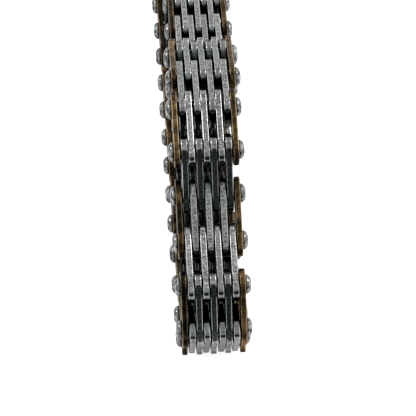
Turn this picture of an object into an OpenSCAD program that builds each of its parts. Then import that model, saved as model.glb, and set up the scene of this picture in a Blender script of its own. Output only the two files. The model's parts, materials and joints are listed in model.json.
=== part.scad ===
// Timing chain of the inverted-tooth kind: a closed loop of stacked steel leaves,
// laced on riveted pins, lying in a heap on a table.
// A row is one pitch of the chain. Guide rows and inner rows take turns.
// X runs along the pins, Y along the chain away from the viewer, Z is up.

/* [Chain] */
// Distance between two neighbouring pins
pitch = 9.525; // [8:0.005:16]
// Leaves side by side in an inner row
inner_leaves = 4; // [2:1:6]
// Clearance between the upper strand's toes and the lower strand's toes
strand_play = 0.3; // [0.2:0.05:1]
// How far the upper strand's pins lie past the lower strand's pins, in pitches
strand_shift = -0.38; // [-0.4:0.02:-0.24]

/* [Leaf outline, in pitches] */
// Height of a leaf's flat back above the line through the pins
back_rise = 0.335; // [0.28:0.005:0.38]
// How far a leaf reaches past its pins
end_reach = 0.35; // [0.32:0.005:0.38]
// Radius of the corner between a leaf's back and its end
corner_r = 0.21; // [0.1:0.005:0.28]
// Depth below the line through the pins where the flanks begin
flank_drop = 0.065; // [0.04:0.005:0.1]
// Depth of the toes below the line through the pins
toe_reach = 0.51; // [0.46:0.005:0.6]
// Radius at the top of the crotch between the toes
crotch_r = 0.14; // [0.08:0.005:0.16]
// Depth of that radius' centre below the line through the pins
crotch_drop = 0.19; // [0.16:0.005:0.3]
// Depth of a guide plate below the line through the pins
guide_reach = 0.43; // [0.36:0.005:0.46]
// Height of the arch in a guide plate's lower edge
guide_arch = 0.14; // [0.05:0.005:0.2]
// Slope of the toes' flanks, in degrees from the leaf's height
flank_angle = 30; // [25:1:32]

/* [Plates] */
// Thickness of a leaf
leaf_t = 1.25; // [0.8:0.05:2.5]
// Thickness of a guide plate
guide_t = 1.15; // [0.8:0.05:2]
// Gap between neighbouring plates
lace_gap = 0.25; // [0.1:0.05:0.5]
// How far a leaning row is pushed over against its neighbour, as a share of that gap
lean_share = 0.85; // [0:0.05:0.85]

/* [Pins] */
// Diameter of a pin
pin_d = 3.1; // [2:0.05:3.4]
// Radial play of a pin in the leaves, a running fit
pin_play = 0.05; // [0.02:0.01:0.1]
// Radial gap that stands for the riveted seat of a pin in a guide plate
seat_gap = 0.01; // [0.01:0.01:0.03]
// Diameter of a rivet head
head_d = 3.9; // [3.6:0.05:4.4]
// Height of a rivet head
head_h = 1.15; // [0.6:0.05:1.5]
// Depth of the dimple left by the rivet tool
dimple = 0.18; // [0.05:0.01:0.3]

/* [Hidden] */
$fn = 48;
steel = [0.56, 0.57, 0.58];
dark_steel = [0.36, 0.38, 0.4];
bronze = [0.5, 0.36, 0.18];

// The loop leans sideways from this row on, up to the upper strand and back down
lean_start = 18;
// Rows lying flat under the front fold, and rows where both strands lie flat
under_fold = 6;
stacked = 4;
// Tilt of the first row that leaves the table, and of the last that comes down to it
fold_tilt = 15;
landing_tilt = 8;
// A tilted row stands on the corner of its leaves, and two rows beside it slope up to that
corner_out = end_reach - corner_r;
function corner_dip(tilt) = corner_out * sin(tilt) - (back_rise - corner_r) * (1 - cos(tilt));
function far_slope(tilt) = asin(corner_dip(tilt) * corner_out / (1 + corner_out));
function near_slope(tilt) = asin(corner_dip(tilt) / (1 + corner_out));
// Headings of the rows of the front fold, in degrees from +Y towards +Z.
// The fold rises off the table, curls over, steps twice and reaches its crest.
front_fold = concat(
    [180 - far_slope(fold_tilt), 180 - near_slope(fold_tilt), 180 - fold_tilt],
    [126, 72, 26, 44, 71, 24, 0, -12]
);
// Headings of the last two rows that come down behind the crest
crest_foot = [-10, 0];
// Headings of the last rows of the far bend, down to the table
far_turn = concat(
    [-73, -120, landing_tilt - 180],
    [near_slope(landing_tilt) - 180, far_slope(landing_tilt) - 180]
);

// Height from the lower strand's pins to the upper strand's pins, in pitches
rise = 2 * toe_reach + strand_play / pitch;

function unit(a) = [cos(a), sin(a)];
function total(v, i = 0) = i < len(v) ? unit(v[i]) + total(v, i + 1) : [0, 0];
function every_other(v, first) = [for (i = [first : 2 : len(v) - 1]) v[i]];
// Headings of two equal rows that together span the vector v
function span(v) = let (mid = atan2(v.y, v.x), half = acos(norm(v) / 2)) [mid - half, mid + half];

// Guide rows and inner rows each make half of the step between the strands, up at
// the fold and down at the far bend, so the loop still closes when guide rows turn.
step_up = [(under_fold + strand_shift) / 2, rise / 2];
step_down = [-strand_shift / 2, -rise / 2];
crest_guides = span(step_up - total(every_other(front_fold, 0)) - unit(crest_foot[1]));
crest_inners = span(step_up - total(every_other(front_fold, 1)) - unit(crest_foot[0]));
far_inners = span(step_down - total(every_other(far_turn, 0)));
far_guides = span(step_down - total(every_other(far_turn, 1)));

heading = concat(
    [for (i = [1 : stacked + under_fold]) 180],
    front_fold,
    [crest_inners[1], crest_guides[0], crest_inners[0], crest_guides[1]],
    crest_foot,
    [for (i = [1 : stacked]) 0],
    [far_inners[1], far_guides[1], far_inners[0], far_guides[0]],
    far_turn
);
rows = len(heading);
row_pairs = rows / 2;

// Pin centres in pitches, one at the start of each row
function walk(i) = i == 0 ? [0, 0] : walk(i - 1) + unit(heading[i - 1]);
pins = [for (i = [0 : rows - 1]) walk(i)];
pin_y = [for (p = pins) p.x];
// Sideways place of each row
lean_step = lean_share * lace_gap;
lean = [for (i = [0 : rows - 1]) lean_step * max(0, min(i - lean_start, rows - i))];
// The origin is under the middle of the loop, on the table
origin_x = max(lean) / 2;
origin_y = (min(pin_y) + max(pin_y)) / 2;
origin_z = -back_rise;

column_step = leaf_t + lace_gap;
columns = 2 * inner_leaves - 1;
guide_x = (columns - 1) / 2 * column_step + leaf_t / 2 + lace_gap + guide_t / 2;
pin_half = guide_x + guide_t / 2 + head_h;

bore_r = pin_d / 2 + pin_play;
toe_out = end_reach - (toe_reach - flank_drop) * tan(flank_angle);
crotch_out = crotch_r * cos(flank_angle)
    + (toe_reach - crotch_drop + crotch_r * sin(flank_angle)) * tan(flank_angle);
guide_out = end_reach - (guide_reach - flank_drop) * tan(flank_angle);
// Half the width of the arch in a guide plate's lower edge, in pitches
arch_half = 0.5;
arch_r = (arch_half * arch_half + guide_arch * guide_arch) / (2 * guide_arch);

// Outline of a rivet head from its seat to its crown, in shares of its radius and height
head_outline = [[1, 0], [1, 0.35], [0.9, 0.7], [0.62, 1], [0.4, 1]];
// Radius of the dimple's floor, in shares of the head's radius
dimple_floor = 0.22;

function label(k) = k < 10 ? str("0", k) : str(k);
guide_names = [for (k = [1 : row_pairs]) str("guide_link_", label(k))];
centre_names = [for (k = [1 : row_pairs]) str("centre_leaves_", label(k))];
inner_names = [for (k = [1 : row_pairs]) str("inner_leaves_", label(k))];

// Outline above the toes: a flat back with round corners, and flanks down to a depth.
// The first pin is at the origin and the second one pitch along.
module plate_body(reach, out) {
    scale(pitch) {
        for (x = [-corner_out, 1 + corner_out])
            translate([x, back_rise - corner_r]) circle(corner_r);
        polygon([
            [-corner_out, back_rise],
            [-end_reach, back_rise - corner_r],
            [-end_reach, -flank_drop],
            [-out, -reach],
            [1 + out, -reach],
            [1 + end_reach, -flank_drop],
            [1 + end_reach, back_rise - corner_r],
            [1 + corner_out, back_rise]
        ]);
    }
}

module bores(r) {
    circle(r);
    translate([pitch, 0]) circle(r);
}

// The notch between the toes, open past their tips
module crotch() {
    open_end = toe_reach + crotch_r;
    scale(pitch) translate([0.5, 0]) {
        translate([0, -crotch_drop]) circle(crotch_r);
        polygon([
            [-crotch_r * cos(flank_angle), -crotch_drop + crotch_r * sin(flank_angle)],
            [-crotch_out, -toe_reach],
            [-crotch_out, -open_end],
            [crotch_out, -open_end],
            [crotch_out, -toe_reach],
            [crotch_r * cos(flank_angle), -crotch_drop + crotch_r * sin(flank_angle)]
        ]);
    }
}

module leaf_outline() {
    difference() {
        plate_body(toe_reach, toe_out);
        bores(bore_r);
        crotch();
    }
}

module guide_outline() {
    difference() {
        plate_body(guide_reach, guide_out);
        bores(pin_d / 2 + seat_gap);
        scale(pitch) translate([0.5, guide_arch - guide_reach - arch_r]) circle(arch_r);
    }
}

// A plate of the given thickness, centred on x
module plate(x, t) {
    translate([x - t / 2, 0, 0]) rotate([90, 0, 90]) linear_extrude(t) children();
}

// Puts its children on row i, with +Y along the row and +Z towards its back
module on_row(i) {
    place = (pins[i] - [origin_y, origin_z]) * pitch;
    translate([lean[i] - origin_x, place.x, place.y]) rotate([heading[i], 0, 0]) children();
}

module leaf(column) {
    plate((column - inner_leaves) * column_step, leaf_t) leaf_outline();
}

// One riveted pin along X: a plain shank with a dimpled head at each end
module riveted_pin() {
    head_r = head_d / 2;
    seat = pin_half - head_h + seat_gap;
    end = concat(
        [[pin_d / 2, seat]],
        [for (p = head_outline) [p.x * head_r, seat + p.y * (pin_half - seat)]],
        [[dimple_floor * head_r, pin_half - dimple], [0, pin_half - dimple]]
    );
    other_end = [for (i = [len(end) - 1 : -1 : 0]) [end[i].x, -end[i].y]];
    rotate([0, 90, 0]) rotate_extrude() polygon(concat(end, other_end));
}

// Two guide plates riveted on the two pins of guide row k
module guide_link(k) {
    on_row(2 * k - 2) {
        color(bronze) {
            plate(-guide_x, guide_t) guide_outline();
            plate(guide_x, guide_t) guide_outline();
        }
        color(steel) {
            riveted_pin();
            translate([0, pitch, 0]) riveted_pin();
        }
    }
}

// The leaves that sit between the guide plates of guide row k
module centre_leaves(k) {
    color(dark_steel) on_row(2 * k - 2) {
        for (column = [2 : 2 : columns]) leaf(column);
    }
}

// The leaves of inner row k, which hinge on the pins of the guide rows beside it
module inner_leaves_row(k) {
    color(steel) on_row(2 * k - 1) {
        for (column = [1 : 2 : columns]) leaf(column);
    }
}

for (k = [1 : row_pairs]) {
    guide_link(k);
    centre_leaves(k);
    inner_leaves_row(k);
}
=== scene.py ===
"""Looks of the timing chain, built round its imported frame.

Each row of the chain gets its own pieces: stamped leaves, bronzed guide plates and riveted pins.
An outline lies in its row's own plane, u along the row and v towards its back. A plate's outline is
worked out in pitches and handed on in millimetres, in which everything else on a row is given.
"""
import json
import math
import random

import bpy
import numpy as np
from mathutils import Matrix, Vector
from mathutils.geometry import tessellate_polygon

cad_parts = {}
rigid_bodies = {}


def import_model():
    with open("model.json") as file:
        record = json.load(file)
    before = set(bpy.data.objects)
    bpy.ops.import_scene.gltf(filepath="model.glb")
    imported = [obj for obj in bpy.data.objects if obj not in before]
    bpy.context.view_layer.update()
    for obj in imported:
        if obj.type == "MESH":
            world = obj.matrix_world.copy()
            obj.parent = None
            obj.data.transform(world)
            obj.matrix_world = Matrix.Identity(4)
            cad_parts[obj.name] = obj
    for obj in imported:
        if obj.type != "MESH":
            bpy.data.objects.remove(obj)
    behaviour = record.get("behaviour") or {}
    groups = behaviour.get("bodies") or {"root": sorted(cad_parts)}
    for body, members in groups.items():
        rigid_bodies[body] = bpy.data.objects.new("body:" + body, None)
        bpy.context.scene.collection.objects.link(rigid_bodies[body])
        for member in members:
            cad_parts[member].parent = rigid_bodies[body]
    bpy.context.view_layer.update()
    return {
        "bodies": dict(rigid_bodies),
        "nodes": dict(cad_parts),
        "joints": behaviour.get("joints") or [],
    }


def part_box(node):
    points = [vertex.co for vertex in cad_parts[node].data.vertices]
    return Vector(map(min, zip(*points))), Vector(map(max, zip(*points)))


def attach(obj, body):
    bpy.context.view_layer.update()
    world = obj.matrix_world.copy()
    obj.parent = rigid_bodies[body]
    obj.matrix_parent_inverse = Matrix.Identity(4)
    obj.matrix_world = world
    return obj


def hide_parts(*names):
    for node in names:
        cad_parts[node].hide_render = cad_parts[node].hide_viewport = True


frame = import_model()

MM = 0.001

# Outlines of leaves and guide plates, in pitches, as the CAD has them
BACK_RISE = 0.335
END_REACH = 0.35
CORNER_R = 0.21
FLANK_DROP = 0.065
TOE_REACH = 0.51
CROTCH_R = 0.14
CROTCH_DROP = 0.19
GUIDE_REACH = 0.43
GUIDE_ARCH = 0.14
ARCH_HALF = 0.5
FLANK = math.radians(30)

# Plates and pins, in millimetres, as the CAD has them
LEAF_T = 1.25
GUIDE_T = 1.15
LACE_GAP = 0.25
PIN_D = 3.1
PIN_PLAY = 0.05
SEAT_GAP = 0.01
HEAD_D = 3.9
HEAD_H = 1.15
DIMPLE = 0.18
INNER_LEAVES = 4

# Edges that stamping and tumbling leave, in millimetres
ROLLED_EDGE = 0.24
BURRED_EDGE = 0.16
TIP_R = 0.35
SHOULDER_R = 1.5
# What tumbling takes off the whole outline
WEAR = 0.03
# The least cosine of half a bend, so that a sharp corner isn't worn back without end
SHARPEST = 0.5

# A rivet head from its seat to the dimple's rim: shares of its height and radius, and the edge mark
HEAD_PROFILE = [(0.0, 0.93, 0.0), (0.05, 0.985, 0.3), (0.16, 1.0, 1.0), (0.3, 0.995, 1.0),
                (0.46, 0.965, 0.6), (0.6, 0.91, 0.3), (0.73, 0.83, 0.0), (0.84, 0.735, 0.0),
                (0.92, 0.64, 0.0), (0.975, 0.54, 0.3), (1.0, 0.46, 1.0), (0.985, 0.395, 1.0)]
# The dimple from its wall to its middle: shares of its depth and the head's radius, and the edge mark
DIMPLE_PROFILE = [(0.6, 0.3, 0.4), (0.92, 0.2, 0.0), (1.0, 0.1, 0.0), (1.0, 0.0, 0.0)]

# Straight pieces in each rounding, and round a whole bore or pin
BACK_STEPS = 12
CORNER_STEPS = 4
CROTCH_STEPS = 10
ARCH_STEPS = 14
BORE_STEPS = 24
EDGE_STEPS = 4
LATHE_STEPS = 40

# How far a leaf strays from its column, as a share of the play beside it, and from its row, in degrees
LEAF_STRAY = 0.2
LEAF_TILT = 0.2
# Share of the leaves that were laced the other way round
TURNED_LEAVES = 0.25

COLUMNS = 2 * INNER_LEAVES - 1
COLUMN_STEP = LEAF_T + LACE_GAP
GUIDE_X = (COLUMNS - 1) / 2 * COLUMN_STEP + LEAF_T / 2 + LACE_GAP + GUIDE_T / 2
HEAD_SEAT = GUIDE_X + GUIDE_T / 2

SEED = 11
draw = random.Random(SEED)


# Rows of the chain, from the frame

# How far below the rivet heads' crown a point of the frame still counts as on it, in millimetres
CROWN_SLACK = 0.01

row_count = len(frame["bodies"])
row_names = ["%s_row_%02d" % (kind, k + 1) for k in range(row_count // 2) for kind in ("guide", "inner")]


def open_pivot(i, places):
    """Where row i starts, if no joint says so. In its guide link this pin lies as far from the middle
    as the other one, whose place is known."""
    other = i - 1 if i % 2 else i + 1
    link = frame["nodes"]["guide_link_%02d" % (i // 2 + 1)]
    crown = max(v.co.x for v in link.data.vertices)
    tips = [v.co.yz for v in link.data.vertices if v.co.x > crown - CROWN_SLACK * MM]
    low = Vector((min(t.x for t in tips), min(t.y for t in tips)))
    high = Vector((max(t.x for t in tips), max(t.y for t in tips)))
    return low + high - places[other]


def shared_pins():
    """Where each row starts: the joint that it shares with the row before it, as (y, z) in metres"""
    joints = {frozenset((j["parent"], j["child"])): j["pos_m"] for j in frame["joints"]}
    places = [joints.get(frozenset((row_names[i - 1], row_names[i]))) for i in range(row_count)]
    places = [Vector(p[1:]) if p else None for p in places]
    gap = places.index(None)
    places[gap] = open_pivot(gap, places)
    return places


def row_middle(i):
    """How far row i lies to the side, in metres"""
    node = ("inner_leaves_%02d" if i % 2 else "centre_leaves_%02d") % (i // 2 + 1)
    low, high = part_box(node)
    return (low[0] + high[0]) / 2


pins = shared_pins()
PITCH = (pins[1] - pins[0]).length / MM
middles = [row_middle(i) for i in range(row_count)]


def row_matrix(i):
    """From row i's own axes, in millimetres, to the frame: Y runs along the row and Z to its back"""
    along = (pins[(i + 1) % row_count] - pins[i]).normalized()
    turn = Matrix(((1, 0, 0), (0, along.x, -along.y), (0, along.y, along.x))).to_4x4()
    return Matrix.Translation((middles[i], pins[i].x, pins[i].y)) @ turn @ Matrix.Scale(MM, 4)


def side_play(i):
    """The gap beside row i's plates, in millimetres, on the side where a leaning neighbour is closest"""
    lean = max(abs(middles[i] - middles[j % row_count]) for j in (i - 1, i + 1))
    return LACE_GAP - lean / MM


# Outlines

def arc(centre, radius, start, end, steps):
    """Points on a circle from one angle to another, in degrees"""
    angles = [math.radians(start + (end - start) * k / steps) for k in range(steps + 1)]
    return [Vector((centre[0] + radius * math.cos(a), centre[1] + radius * math.sin(a))) for a in angles]


def corner(before, at, after, radius):
    """Points that round off the corner between two straight edges"""
    before, at, after = Vector(before), Vector(at), Vector(after)
    a, b = (before - at).normalized(), (after - at).normalized()
    half = a.angle(b) / 2
    centre = at + (a + b).normalized() * radius / math.sin(half)
    start = at + a * radius / math.tan(half) - centre
    end = at + b * radius / math.tan(half) - centre
    sweep = start.angle_signed(end)
    first = math.atan2(start.y, start.x)
    angles = [first - sweep * k / CORNER_STEPS for k in range(CORNER_STEPS + 1)]
    return [centre + radius * Vector((math.cos(t), math.sin(t))) for t in angles]


def plate_outline(reach, underside):
    """A flat back with round corners, flanks down to the reach, and the given underside between them"""
    out = END_REACH - (reach - FLANK_DROP) * math.tan(FLANK)
    side, top = END_REACH - CORNER_R, BACK_RISE - CORNER_R
    left, right = (-out, -reach), (1 + out, -reach)
    left_end, right_end = (-END_REACH, -FLANK_DROP), (1 + END_REACH, -FLANK_DROP)
    tip, shoulder = TIP_R / PITCH, SHOULDER_R / PITCH
    points = arc((-side, top), CORNER_R, 90, 180, BACK_STEPS)
    points += corner((-END_REACH, top), left_end, left, shoulder)
    points += corner(left_end, left, underside[0], tip)
    points += underside
    points += corner(underside[-1], right, right_end, tip)
    points += corner(right, right_end, (1 + END_REACH, top), shoulder)
    points += arc((1 + side, top), CORNER_R, 0, 90, BACK_STEPS)
    return [p * PITCH for p in points]


def leaf_outline():
    """A leaf's underside is a notch between two toes"""
    foot = CROTCH_R * math.cos(FLANK)
    foot += (TOE_REACH - CROTCH_DROP + CROTCH_R * math.sin(FLANK)) * math.tan(FLANK)
    left, right = (0.5 - foot, -TOE_REACH), (0.5 + foot, -TOE_REACH)
    slope = math.degrees(FLANK)
    top = arc((0.5, -CROTCH_DROP), CROTCH_R, 180 - slope, slope, CROTCH_STEPS)
    tip = TIP_R / PITCH
    underside = corner((left[0] - 1, left[1]), left, top[0], tip)
    underside += top
    underside += corner(top[-1], right, (right[0] + 1, right[1]), tip)
    return plate_outline(TOE_REACH, underside)


def guide_outline():
    """A guide plate's underside is a shallow arch"""
    radius = (ARCH_HALF ** 2 + GUIDE_ARCH ** 2) / (2 * GUIDE_ARCH)
    half = math.degrees(math.asin(ARCH_HALF / radius))
    centre = (0.5, GUIDE_ARCH - GUIDE_REACH - radius)
    return plate_outline(GUIDE_REACH, arc(centre, radius, 90 + half, 90 - half, ARCH_STEPS))


def bore(u, radius):
    """A circle that runs the other way round than the outline does, so the metal is on its left too"""
    return arc((u, 0), radius, 360, 360 / BORE_STEPS, BORE_STEPS - 1)


# A solid is a dict of lists: each point's place and, on plates, its normal, then the faces, and
# four marks of each point for the materials. "edge" is 1 on a plate's rolled edges and a pin's rims.
# "wall" is 1 on the stamped outline and 0 on flat sides. "back" is 1 where the outline faces away
# from the toes, and "under" where it faces their way.
MARKS = ("edge", "wall", "back", "under")
# How steeply the edge mark rises and falls as the edge turns over
EDGE_GAIN = 1.6
# The back and under marks rise from 0 to 1 between these shares of a normal
BACK_FROM, BACK_TO = 0.75, 1.0
UNDER_FROM, UNDER_TO = 0.15, 0.4


def empty_solid():
    return {key: [] for key in ("co", "normal", "faces", *MARKS)}


def share_between(value, low, high):
    """0 up to low, 1 from high on, and even in between"""
    return min(1, max(0, (value - low) / (high - low)))


def loop_normals(loop):
    """Outward normals of a closed loop that has the metal on its left, and how much a corner needs"""
    n = len(loop)
    steps = [(loop[(j + 1) % n] - loop[j]).normalized() for j in range(n)]
    out = [Vector((s.y, -s.x)) for s in steps]
    normals = [(out[j - 1] + out[j]).normalized() for j in range(n)]
    return [(m, 1 / max(SHARPEST, m.dot(out[j]))) for j, m in enumerate(normals)]


def edge_rings(solid, loop, side, half, round_off):
    """Rings of points from a loop's wall over its edge on one side of a plate of that half thickness"""
    normals = loop_normals(loop)
    rings = []
    for k in range(EDGE_STEPS + 1):
        turn = math.pi / 2 * k / EDGE_STEPS
        rise, level = math.sin(turn), math.cos(turn)
        x = side * (half - round_off + round_off * rise)
        inset = WEAR + round_off * (1 - level)
        start = len(solid["co"])
        for p, (n, miter) in zip(loop, normals):
            q = p - n * inset * miter
            solid["co"].append((x, q.x, q.y))
            solid["normal"].append((side * rise, n.x * level, n.y * level))
            solid["edge"].append(min(1, EDGE_GAIN * math.sin(2 * turn)))
            solid["wall"].append(float(k < EDGE_STEPS))
            solid["back"].append(share_between(n.y, BACK_FROM, BACK_TO))
            solid["under"].append(share_between(-n.y, UNDER_FROM, UNDER_TO))
        rings.append(range(start, start + len(loop)))
    return rings


def band(solid, a, b, outward):
    """Quads between two rings of points"""
    for j in range(len(a)):
        k = (j + 1) % len(a)
        quad = (a[j], a[k], b[k], b[j])
        solid["faces"].append(quad if outward else quad[::-1])


def flat_side(solid, rims, side):
    """The flat side of a plate, between the last rings of its outline and bores"""
    index = [v for rim in rims for v in rim]
    places = [[Vector((*solid["co"][v][1:], 0)) for v in rim] for rim in rims]
    flat = [p for rim in places for p in rim]
    for a, b, c in tessellate_polygon(places):
        area = (flat[b] - flat[a]).cross(flat[c] - flat[a]).z
        face = (index[a], index[b], index[c])
        solid["faces"].append(face if area * side > 0 else face[::-1])


def plate(loops, thickness):
    """A stamped plate: its outline and bores, with one side's edges rolled and the other's burred"""
    solid = empty_solid()
    rims = {1: [], -1: []}
    for loop in loops:
        walls = {}
        for side, round_off in ((1, ROLLED_EDGE), (-1, BURRED_EDGE)):
            rings = edge_rings(solid, loop, side, thickness / 2, round_off)
            for a, b in zip(rings, rings[1:]):
                band(solid, a, b, side > 0)
            walls[side] = rings[0]
            rims[side].append(rings[-1])
        band(solid, walls[-1], walls[1], True)
    for side in (1, -1):
        flat_side(solid, rims[side], side)
    return solid


def bored_plate(outline, radius, thickness):
    """A plate with a bore of that radius at each end of its pitch"""
    return plate([outline, bore(0, radius), bore(PITCH, radius)], thickness)


def lathe(profile):
    """A solid turned about X from (x, radius, edge mark) points that begin and end on the axis"""
    solid = empty_solid()
    rings = []
    for x, radius, mark in profile:
        start = len(solid["co"])
        for j in range(LATHE_STEPS if radius > 0 else 1):
            a = math.tau * j / LATHE_STEPS
            solid["co"].append((x, radius * math.cos(a), radius * math.sin(a)))
            solid["edge"].append(mark)
            solid["wall"].append(1.0)
            solid["back"].append(0.0)
            solid["under"].append(0.0)
        rings.append(range(start, len(solid["co"])))
    for a, b in zip(rings, rings[1:]):
        for j in range(LATHE_STEPS):
            k = (j + 1) % LATHE_STEPS
            if len(a) == 1:
                solid["faces"].append((a[0], b[j], b[k]))
            elif len(b) == 1:
                solid["faces"].append((a[j], b[0], a[k]))
            else:
                solid["faces"].append((a[j], b[j], b[k], a[k]))
    return solid


def riveted_pin():
    """A plain shank with a spun head at each end: a rounded rim, a low dome and the tool's dimple"""
    r = HEAD_D / 2
    seat = HEAD_SEAT + SEAT_GAP
    top = HEAD_SEAT + HEAD_H
    half = [(seat, PIN_D / 2, 0.0)]
    half += [(seat + height * (top - seat), share * r, mark) for height, share, mark in HEAD_PROFILE]
    half += [(top - depth * DIMPLE, share * r, mark) for depth, share, mark in DIMPLE_PROFILE]
    return lathe([(-x, radius, mark) for x, radius, mark in reversed(half)] + half)


leaf_solid = bored_plate(leaf_outline(), PIN_D / 2 + PIN_PLAY, LEAF_T)
guide_solid = bored_plate(guide_outline(), PIN_D / 2 + SEAT_GAP, GUIDE_T)
pin_solid = riveted_pin()


# Pieces

# The furthest place of a solid in the materials' noise, and the sharpest bend that is shaded smooth
NOISE_SPREAD = 500
SMOOTH_BEND = math.radians(40)


def build(name, parts, material, own_normals=True):
    """One object from solids, each with the matrix that puts it in the frame. Each solid gets a tone
    and a place in the noise of its own."""
    co, normals, faces, tone, grain = [], [], [], [], []
    marks = {key: [] for key in MARKS}
    for solid, matrix in parts:
        start = sum(len(c) for c in co)
        local = np.array(solid["co"])
        m = np.array(matrix)
        co.append(local @ m[:3, :3].T + m[:3, 3])
        if own_normals:
            normals.append(np.array(solid["normal"]) @ m[:3, :3].T / MM)
        faces += [tuple(start + v for v in f) for f in solid["faces"]]
        for key in MARKS:
            marks[key].append(solid[key])
        tone.append(np.full(len(local), draw.random()))
        grain.append(local + [draw.uniform(-NOISE_SPREAD, NOISE_SPREAD) for _ in range(3)])
    mesh = bpy.data.meshes.new(name)
    mesh.from_pydata(np.concatenate(co).tolist(), [], faces)
    for key, values in (*marks.items(), ("tone", tone)):
        mesh.attributes.new(key, "FLOAT", "POINT").data.foreach_set("value", np.concatenate(values))
    places = mesh.attributes.new("grain", "FLOAT_VECTOR", "POINT")
    places.data.foreach_set("vector", np.concatenate(grain).ravel())
    mesh.shade_smooth()
    if own_normals:
        mesh.normals_split_custom_set_from_vertices(np.concatenate(normals).tolist())
    else:
        mesh.set_sharp_from_angle(angle=SMOOTH_BEND)
    mesh.materials.append(material)
    piece = bpy.data.objects.new(name, mesh)
    bpy.context.scene.collection.objects.link(piece)
    return piece


def leaf_stack(name, i, columns, material):
    """The leaves of row i in the given columns, each a little off its place as loose plates are"""
    parts = []
    middle = Matrix.Translation((0, PITCH / 2, 0))
    stray = LEAF_STRAY * side_play(i)
    for column in columns:
        x = (column - INNER_LEAVES) * COLUMN_STEP + draw.uniform(-stray, stray)
        tilt = Matrix.Rotation(math.radians(draw.uniform(-LEAF_TILT, LEAF_TILT)), 4, "X")
        face = Matrix.Rotation(math.pi, 4, "Z") if draw.random() < TURNED_LEAVES else Matrix.Identity(4)
        place = row_matrix(i) @ Matrix.Translation((x, 0, 0)) @ middle @ tilt @ face @ middle.inverted()
        parts.append((leaf_solid, place))
    piece = build(name, parts, material)
    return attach(piece, row_names[i])


# Materials

# Sockets of the node that mixes two colours: its factor, the colours and the result
MIX_FACTOR, MIX_A, MIX_B, MIX_RESULT = 0, 6, 7, 2
OPENNESS_SAMPLES = 8


class Nodes:
    """The nodes of a material or a world, made one after another"""

    def __init__(self, owner):
        owner.use_nodes = True
        self.owner = owner
        self.tree = owner.node_tree
        self.shader = self.tree.nodes.get("Principled BSDF")

    def add(self, kind, inputs=None, **values):
        """A new node with its settings. An input that is another node's socket is linked."""
        node = self.tree.nodes.new(kind)
        for key, value in values.items():
            setattr(node, key, value)
        for key, value in (inputs or {}).items():
            if isinstance(value, bpy.types.NodeSocket):
                self.tree.links.new(value, node.inputs[key])
            else:
                node.inputs[key].default_value = value
        return node

    def attribute(self, name, output="Fac"):
        return self.add("ShaderNodeAttribute", attribute_name=name).outputs[output]

    def math(self, operation, a, b, clamp=False):
        return self.add("ShaderNodeMath", {0: a, 1: b}, operation=operation, use_clamp=clamp).outputs[0]

    def stretched(self, vector, scale):
        return self.add("ShaderNodeVectorMath", {0: vector, 1: scale}, operation="MULTIPLY").outputs[0]

    def noise(self, vector, scale, detail=3.0, roughness=0.6):
        inputs = {"Vector": vector, "Scale": scale, "Detail": detail, "Roughness": roughness}
        return self.add("ShaderNodeTexNoise", inputs).outputs["Fac"]

    def blend(self, a, b, share):
        """Adds two values, with the given share of the second"""
        return self.math("ADD", self.math("MULTIPLY", a, 1 - share), self.math("MULTIPLY", b, share))

    def lowered(self, factor, share):
        """1 where the factor is 0, and lower by the given share where it is 1"""
        return self.math("SUBTRACT", 1.0, self.math("MULTIPLY", factor, share))

    def span(self, value, low, high):
        """Takes 0 to 1 to low to high"""
        inputs = {"Value": value, "To Min": low, "To Max": high}
        return self.add("ShaderNodeMapRange", inputs).outputs["Result"]

    def ramp(self, value, *stops):
        """Colours by the value, from (place, colour) stops"""
        node = self.add("ShaderNodeValToRGB", {"Fac": value})
        elements = node.color_ramp.elements
        while len(elements) < len(stops):
            elements.new(0.5)
        for element, (place, colour) in zip(elements, stops):
            element.position = place
            element.color = (*colour, 1)
        return node.outputs["Color"]

    def mix(self, factor, a, b, blend_type="MIX"):
        """Colour a where the factor is 0, and b where it is 1"""
        a, b = (c if isinstance(c, bpy.types.NodeSocket) else (*c, 1) for c in (a, b))
        inputs = {MIX_FACTOR: factor, MIX_A: a, MIX_B: b}
        return self.add("ShaderNodeMix", inputs, data_type="RGBA", blend_type=blend_type).outputs[MIX_RESULT]

    def tinted(self, factor, colour, tint):
        """The colour, multiplied by the tint where the factor is 1"""
        return self.mix(factor, colour, tint, "MULTIPLY")

    def closed_in(self, reach, closed, opened):
        """1 where a point is closed in by what lies within reach, in metres, and 0 where it is open"""
        openness = self.add("ShaderNodeAmbientOcclusion", {"Distance": reach}, samples=OPENNESS_SAMPLES)
        inputs = {"Value": openness.outputs["AO"], "From Min": closed, "From Max": opened,
                  "To Min": 1.0, "To Max": 0.0}
        return self.add("ShaderNodeMapRange", inputs).outputs["Result"]

    def metal(self, colour, roughness, height, depth):
        """Makes the shader a metal. Its relief follows the height and is depth deep, in millimetres."""
        self.tree.links.new(colour, self.shader.inputs["Base Color"])
        self.tree.links.new(roughness, self.shader.inputs["Roughness"])
        self.shader.inputs["Metallic"].default_value = 1.0
        bump = self.add("ShaderNodeBump", {"Height": height, "Strength": 1.0, "Distance": depth * MM})
        self.tree.links.new(bump.outputs["Normal"], self.shader.inputs["Normal"])
        return self.owner


# Steel from its oily pits to where it is rubbed bright
PITTED = (0.035, 0.042, 0.042)
PLAIN = (0.33, 0.34, 0.33)
RUBBED = (0.92, 0.92, 0.9)


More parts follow.
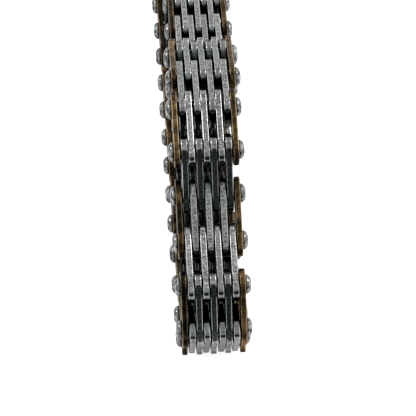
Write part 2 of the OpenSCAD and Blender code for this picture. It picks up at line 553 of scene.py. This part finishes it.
def leaf_steel(name, shade):
    """Tumbled steel: speckled backs, smoother ends, bright rolled edges and oxide-dark sides, with painted
    shade on the sides, in the recesses and under the toes
    """
    n = Nodes(bpy.data.materials.new(name))
    grain = n.attribute("grain", "Vector")
    edge, wall, back, under, tone = (n.attribute(key) for key in (*MARKS, "tone"))
    speckle = n.noise(grain, scale=3.2, detail=4.0, roughness=0.8)
    fine = n.noise(grain, scale=7.0)
    shear = n.noise(n.stretched(grain, (0.5, 6.0, 3.0)), scale=1.0)
    patches = n.noise(grain, scale=0.9, detail=5.0, roughness=0.65)
    cloud = n.noise(grain, scale=0.35, detail=2.0, roughness=0.5)
    mottle = n.blend(speckle, shear, 0.35)

    pitted, plain, rubbed = (tuple(shade * c for c in colour) for colour in (PITTED, PLAIN, RUBBED))
    backs = n.ramp(mottle, (0.4, pitted), (0.5, plain), (0.6, rubbed))
    ends = n.ramp(mottle, (0.38, (0.1, 0.112, 0.11)), (0.6, (0.42, 0.435, 0.425)))
    # The flat sides are dark with oxide, and darkened further as painted shade for the deep gaps between the
    # leaves
    sides = n.ramp(patches, (0.3, (0.01, 0.016, 0.017)), (0.7, (0.045, 0.06, 0.062)))

    # Painted shade: the faces towards the toes are darkened, as if shade lay under each leaf
    colour = n.tinted(under, n.mix(back, ends, backs), (0.12, 0.14, 0.14))
    colour = n.mix(wall, sides, colour)
    # Tumbling rubs the edges bright, but hardly reaches those between the toes
    rim = n.math("MULTIPLY", edge, n.lowered(under, 0.85))
    colour = n.mix(n.math("MULTIPLY", rim, n.span(fine, 0.3, 1.6), clamp=True), colour, RUBBED)
    # Each leaf has a tone of its own, and clouds of tarnish and oil lie over them all
    colour = n.tinted(n.span(tone, 0.0, 0.3), colour, (0.3, 0.31, 0.32))
    colour = n.tinted(n.span(cloud, 0.0, 0.35), colour, (0.45, 0.42, 0.38))
    # Painted shade: the colour darkens, with a teal tint, where a leaf is closed in by its neighbours, in the
    # windows and gaps of the chain
    painted_recess_shade = n.closed_in(reach=0.005, closed=0.25, opened=0.7)
    colour = n.tinted(painted_recess_shade, colour, (0.05, 0.095, 0.1))

    rough = n.math("SUBTRACT", n.span(fine, 0.08, 0.2), n.math("MULTIPLY", edge, 0.03))
    rough = n.math("ADD", rough, n.math("MULTIPLY", back, 0.03))
    return n.metal(colour, rough, n.blend(fine, shear, 0.5), depth=0.006)


def guide_bronze():
    """Bronzed spring steel: gold brown where it is rubbed, nearly black where the finish is thick"""
    n = Nodes(bpy.data.materials.new("bronzed_steel"))
    grain = n.attribute("grain", "Vector")
    edge, wall, tone = (n.attribute(key) for key in ("edge", "wall", "tone"))
    cloud = n.noise(grain, scale=0.4, detail=4.0)
    fine = n.noise(n.stretched(grain, (1.0, 3.0, 1.0)), scale=3.0, detail=4.0, roughness=0.65)
    mottle = n.math("ADD", n.blend(cloud, fine, 0.4), n.span(tone, -0.06, 0.06))

    stamped = n.ramp(mottle, (0.42, (0.008, 0.0085, 0.007)), (0.51, (0.07, 0.047, 0.024)),
                     (0.63, (0.29, 0.18, 0.08)))
    sides = n.ramp(mottle, (0.4, (0.01, 0.009, 0.008)), (0.54, (0.05, 0.037, 0.023)),
                   (0.7, (0.16, 0.11, 0.055)))
    colour = n.mix(wall, sides, stamped)
    rubbed = n.math("MULTIPLY", edge, n.span(mottle, -0.6, 1.6), clamp=True)
    colour = n.mix(rubbed, colour, (0.6, 0.4, 0.19))

    rough = n.math("SUBTRACT", n.span(fine, 0.26, 0.46), n.math("MULTIPLY", edge, 0.1))
    return n.metal(colour, rough, mottle, depth=0.04)


def pin_steel():
    """Ground and spun steel with fine rings, and painted shade where it is closed in"""
    n = Nodes(bpy.data.materials.new("pin_steel"))
    grain = n.attribute("grain", "Vector")
    edge, tone = n.attribute("edge"), n.attribute("tone")
    rings = n.noise(n.stretched(grain, (9.0, 0.6, 0.6)), scale=1.0)
    cloud = n.noise(grain, scale=1.1, detail=4.0)

    colour = n.ramp(n.blend(rings, cloud, 0.6), (0.44, (0.03, 0.045, 0.047)), (0.51, (0.26, 0.275, 0.27)),
                    (0.6, (0.72, 0.72, 0.7)))
    colour = n.mix(n.math("MULTIPLY", edge, 0.4), colour, (0.7, 0.69, 0.67))
    colour = n.tinted(n.span(tone, 0.0, 0.25), colour, (0.5, 0.45, 0.4))
    # Painted shade: darker at the head's foot by its guide plate, in the dimple and along the shank between
    # the plates
    painted_recess_shade = n.closed_in(reach=0.003, closed=0.4, opened=0.95)
    colour = n.tinted(painted_recess_shade, colour, (0.05, 0.08, 0.085))
    return n.metal(colour, n.span(cloud, 0.08, 0.2), n.math("ADD", rings, cloud), depth=0.03)


def stage_material(name, colour, glow, mirrored_glow):
    """A matt stage surface. What the camera sees of it is lifted to white, and less so what metal
    mirrors. It stays dark in the narrow gaps of what stands on it."""
    n = Nodes(bpy.data.materials.new(name))
    n.shader.inputs["Base Color"].default_value = (*colour, 1)
    n.shader.inputs["Roughness"].default_value = 0.9
    n.shader.inputs["Specular IOR Level"].default_value = 0.1
    path = n.add("ShaderNodeLightPath")
    mirrored = n.math("ADD", path.outputs["Is Glossy Ray"], path.outputs["Is Transmission Ray"], clamp=True)
    strength = n.math("MULTIPLY", mirrored, mirrored_glow)
    strength = n.math("ADD", n.math("MULTIPLY", path.outputs["Is Camera Ray"], glow), strength)
    covered = n.closed_in(reach=0.004, closed=0.12, opened=0.3)
    strength = n.math("MULTIPLY", strength, n.math("SUBTRACT", 1.0, covered))
    n.shader.inputs["Emission Color"].default_value = (1, 1, 1, 1)
    n.tree.links.new(strength, n.shader.inputs["Emission Strength"])
    return n.owner


centre_steel = leaf_steel("centre_leaf_steel", shade=0.92)
inner_steel = leaf_steel("inner_leaf_steel", shade=1.0)
bronze = guide_bronze()
bright_pin = pin_steel()


# The chain

def dress_guide_row(i):
    """Guide row i: two guide plates, two riveted pins and the leaves between the plates"""
    k = i // 2 + 1
    place = row_matrix(i)
    plates = [(guide_solid, place @ Matrix.Translation((x, 0, 0))) for x in (-GUIDE_X, GUIDE_X)]
    guides = build("guide_plates_%02d" % k, plates, bronze)
    rivets = []
    for y in (0, PITCH):
        spin = Matrix.Rotation(draw.uniform(0, math.tau), 4, "X")
        rivets.append((pin_solid, place @ Matrix.Translation((0, y, 0)) @ spin))
    rivets = build("riveted_pins_%02d" % k, rivets, bright_pin, own_normals=False)
    for piece, slot in ((guides, "bronzed_steel"), (rivets, "inner_leaf_steel")):
        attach(piece, row_names[i])
        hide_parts("guide_link_%02d" % k)
    leaves = leaf_stack("centre_leaf_stack_%02d" % k, i, range(2, COLUMNS, 2), centre_steel)
    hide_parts("centre_leaves_%02d" % k)


def dress_inner_row(i):
    """Inner row i: the leaves that hinge on the pins of the guide rows beside it"""
    k = i // 2 + 1
    leaves = leaf_stack("inner_leaf_stack_%02d" % k, i, range(1, COLUMNS + 1, 2), inner_steel)
    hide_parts("inner_leaves_%02d" % k)


for row in range(row_count):
    if row % 2:
        dress_inner_row(row)
    else:
        dress_guide_row(row)


# Stage

def card(name, width, depth, place, material):
    """A flat stage card that lies face up"""
    mesh = bpy.data.meshes.new(name)
    w, d = width / 2, depth / 2
    mesh.from_pydata([(-w, -d, 0), (w, -d, 0), (w, d, 0), (-w, d, 0)], [], [(0, 1, 2, 3)])
    mesh.materials.append(material)
    made = bpy.data.objects.new(name, mesh)
    made.location = place
    bpy.context.scene.collection.objects.link(made)
    return made


FLOOR_SIZE = 12.0
floor_white = stage_material("floor_white", (0.86, 0.86, 0.86), glow=0.85, mirrored_glow=0.15)
card("floor", FLOOR_SIZE, FLOOR_SIZE, (0, 0, 0), floor_white)

# A dark card on the table in front, which only reflections see, gives the metal its contrast
FLAG_START = -0.13
FLAG_DEPTH = 5.0
FLAG_WIDTH = 4.0
FLAG_LIFT = 0.0005
card_dark = stage_material("card_dark", (0.022, 0.036, 0.038), glow=0.0, mirrored_glow=0.0)
flag = card("dark_card", FLAG_WIDTH, FLAG_DEPTH, (0, FLAG_START - FLAG_DEPTH / 2, FLAG_LIFT), card_dark)
flag.visible_camera = False
flag.visible_diffuse = False
flag.visible_shadow = False
flag.visible_transmission = False

SOFTBOX_SIZE = 0.25


def softbox(name, place, power):
    """A square lamp that faces the chain"""
    light = bpy.data.lights.new(name, "AREA")
    light.shape = "SQUARE"
    light.size = SOFTBOX_SIZE
    light.energy = power
    made = bpy.data.objects.new(name, light)
    made.location = place
    made.rotation_euler = (-Vector(place)).to_track_quat("-Z", "Y").to_euler()
    bpy.context.scene.collection.objects.link(made)


softbox("softbox_right", (0.7, 0.1, 0.8), power=1.6)
softbox("softbox_left", (-0.8, 0.2, 0.6), power=1.4)


def tent(name, colour, strength, front_loss, edge, fade, right_gain):
    """A light tent: bright all round, a little more on the right, but for its open front towards -Y.
    The edge of the opening and the fade before it are given by a direction's share of -Y."""
    n = Nodes(bpy.data.worlds.new(name))
    direction = n.add("ShaderNodeTexCoord").outputs["Generated"]
    across = n.add("ShaderNodeSeparateXYZ", {"Vector": direction})
    front = n.math("MULTIPLY", across.outputs["Y"], -1.0, clamp=True)
    inputs = {"Value": front, "From Min": edge[0], "From Max": edge[1],
              "To Min": 1.0, "To Max": 1 - front_loss}
    opening = n.add("ShaderNodeMapRange", inputs, interpolation_type="SMOOTHSTEP").outputs["Result"]
    light = n.math("MULTIPLY", opening, n.lowered(front, fade))
    light = n.math("MULTIPLY", light, strength)
    light = n.math("MULTIPLY", light, n.math("ADD", n.math("MULTIPLY", across.outputs["X"], right_gain), 1.0))
    background = n.tree.nodes["Background"]
    background.inputs["Color"].default_value = (*colour, 1)
    n.tree.links.new(light, background.inputs["Strength"])
    return n.owner


bpy.context.scene.world = tent(
    "light_tent", colour=(0.97, 0.985, 1.0), strength=0.85, front_loss=0.97, edge=(0.92, 0.985),
    fade=0.25, right_gain=0.12)


# The camera stands where the photograph was taken from

PHOTO_SIDE = 416
FOCAL_PIXELS = 2900
SENSOR = 36
NEAR_CLIP = 0.01
CAMERA_PLACE = (-0.02089, -0.49903, 0.42426)
AZIMUTH = math.radians(2.59)
ELEVATION = math.radians(42.09)
ROLL = math.radians(-1.04)

camera_data = bpy.data.cameras.new("camera")
camera_data.sensor_width = SENSOR
camera_data.lens = FOCAL_PIXELS * SENSOR / PHOTO_SIDE
camera_data.clip_start = NEAR_CLIP
camera = bpy.data.objects.new("camera", camera_data)
right = Vector((math.cos(AZIMUTH), -math.sin(AZIMUTH), 0))
ahead = Vector((math.sin(AZIMUTH), math.cos(AZIMUTH), 0))
up = ahead * math.sin(ELEVATION) + Vector((0, 0, math.cos(ELEVATION)))
level = Matrix((right, up, right.cross(up))).transposed()
camera.matrix_world = Matrix.Translation(CAMERA_PLACE) @ (level @ Matrix.Rotation(ROLL, 3, "Z")).to_4x4()
bpy.context.scene.collection.objects.link(camera)
bpy.context.scene.camera = camera

bpy.context.scene.view_settings.view_transform = "Standard"
